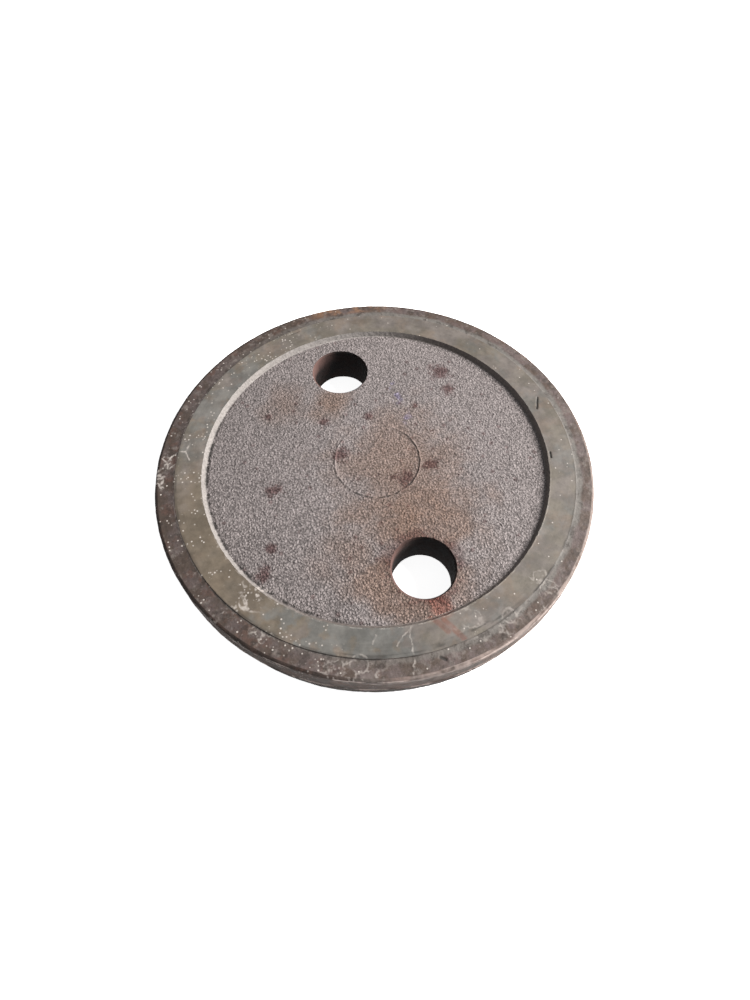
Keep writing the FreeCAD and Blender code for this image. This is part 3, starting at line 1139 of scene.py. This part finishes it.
def make_mesh(name, points, triangles, zones):
    mesh = bpy.data.meshes.new(name)
    mesh.vertices.add(len(points))
    mesh.vertices.foreach_set("co", (points * MM).astype(np.float32).ravel())
    mesh.loops.add(triangles.size)
    mesh.loops.foreach_set("vertex_index", triangles.ravel().astype(np.int32))
    mesh.polygons.add(len(triangles))
    mesh.polygons.foreach_set("loop_start", np.arange(0, triangles.size, 3, dtype=np.int32))
    mesh.polygons.foreach_set("material_index", zones.astype(np.int32))
    mesh.update(calc_edges=True)
    mesh.shade_smooth()
    mesh.set_sharp_from_angle(angle=math.radians(SHARP_DEGREES))
    return mesh


def paint(mesh, name, values):
    """Stores a mask on the vertices, for a material to read by name."""
    attribute = mesh.attributes.new(name, "FLOAT", "POINT")
    attribute.data.foreach_set("value", np.clip(values, 0, 1).astype(np.float32))


def add_object(name, data):
    """A new object in the scene."""
    made = bpy.data.objects.new(name, data)
    bpy.context.scene.collection.objects.link(made)
    return made


def make_casting():
    """The flange itself, standing for the CAD solid."""
    bare, triangles, zones = bare_casting()
    points, places, floor = rough_casting(bare, triangles)
    mesh = make_mesh("flange_surface", points, triangles, zones)
    # the floor's relief, which the floor's colour reads as painted shade
    paint(mesh, "relief_shade", relief_shade_mask(floor))
    for mask in MASKS:
        paint(mesh, mask.__name__.removesuffix("_mask"), mask(places))
    for material in MATERIALS:
        mesh.materials.append(material())
    piece = add_object("flange_surface", mesh)
    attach(piece, "root")
    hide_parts(NODE)


# ---- studio ----

CAMERA_DISTANCE = 206.2     # from the middle of the seat's plane
CAMERA_ELEVATION = 57.05
CAMERA_AZIMUTH = -19.0      # 0 looks along +Y
CAMERA_AIM = (2.94, -17.57)  # where the view's middle meets the seat's plane
CAMERA_ROLL = 3.47
CAMERA_LENS = 19.6
CAMERA_SHIFT = (-0.0267, -0.0073)
CAMERA_CLIP = 5.0

KEY_AZIMUTH = 80.0          # from the front towards +X
KEY_ELEVATION = 36.0
KEY_DISTANCE = 1300.0
KEY_SIZE = 700.0
KEY_STRENGTH = 2.8          # how bright it makes a white face that is square to it
KEY_COLOUR = (1.0, 0.965, 0.93)
SKY_STRENGTH = 0.32
SKY_COLOUR = (0.96, 0.98, 1.0)
FLOOR_SIZE = 6000.0
FLOOR_GAP = 0.15            # the floor lies this far under the back face
FLOOR_WHITE = (0.88, 0.88, 0.88)
FLOOR_SHADE = (0.84, 0.84, 0.84)
FLOOR_GLOW = 0.88           # a lit table, so that the shadows under the disc stay pale


def from_azimuth(azimuth, elevation, distance):
    """A point seen from the disc's middle; azimuth 0 is towards -Y and 90 towards +X."""
    a = math.radians(azimuth)
    e = math.radians(elevation)
    flat = distance * math.cos(e)
    return Vector((flat * math.sin(a), -flat * math.cos(a), distance * math.sin(e)))


def aimed(place, target):
    """A matrix that stands at place, in millimetres, and looks at target."""
    turned = (target - place).to_track_quat("-Z", "Y").to_matrix().to_4x4()
    return Matrix.Translation(place * MM) @ turned


def make_camera():
    """The camera, at the angle that the object is known from."""
    seat_middle = Vector((0.0, 0.0, SEAT_Z))
    place = seat_middle + from_azimuth(CAMERA_AZIMUTH, CAMERA_ELEVATION, CAMERA_DISTANCE)
    data = bpy.data.cameras.new("camera")
    data.lens = CAMERA_LENS
    data.shift_x, data.shift_y = CAMERA_SHIFT
    data.clip_start = CAMERA_CLIP * MM
    camera = add_object("camera", data)
    roll = Matrix.Rotation(math.radians(CAMERA_ROLL), 4, "Z")
    camera.matrix_world = aimed(place, Vector((*CAMERA_AIM, SEAT_Z))) @ roll
    bpy.context.scene.camera = camera


def make_key_light():
    """One large soft light from the right."""
    place = from_azimuth(KEY_AZIMUTH, KEY_ELEVATION, KEY_DISTANCE)
    data = bpy.data.lights.new("key_light", "AREA")
    data.shape = "DISK"
    data.size = KEY_SIZE * MM
    data.energy = KEY_STRENGTH * (math.pi * KEY_DISTANCE * MM) ** 2
    data.color = KEY_COLOUR
    add_object("key_light", data).matrix_world = aimed(place, Vector((0.0, 0.0, 0.0)))


def make_sky():
    """Even light from all round."""
    world = bpy.data.worlds.new("studio")
    world.use_nodes = True
    background = world.node_tree.nodes["Background"]
    background.inputs["Color"].default_value = (*SKY_COLOUR, 1.0)
    background.inputs["Strength"].default_value = SKY_STRENGTH
    bpy.context.scene.world = world


def make_floor():
    """The pale floor, which isn't part of the object."""
    half = FLOOR_SIZE * MM / 2
    low = -FLOOR_GAP * MM
    mesh = bpy.data.meshes.new("studio_floor")
    corners = [(-half, -half, low), (half, -half, low), (half, half, low), (-half, half, low)]
    mesh.from_pydata(corners, [], [(0, 1, 2, 3)])
    look = Look("pale_floor")
    colour = look.mix(look.noise(40.0, 0.0, 2.0, 0.55), FLOOR_SHADE, FLOOR_WHITE)
    look.finish(colour, 0.9, look.bump(look.noise(3.0, 0.0, 3.0, 0.55), 0.01), specular=0.1)
    look.feed(look.shader, {"Emission Color": CLEAR, "Emission Strength": FLOOR_GLOW})
    mesh.materials.append(look.material)
    add_object("studio_floor", mesh)


bpy.context.scene.view_settings.view_transform = "Standard"
make_camera()
make_key_light()
make_sky()
make_floor()
make_casting()
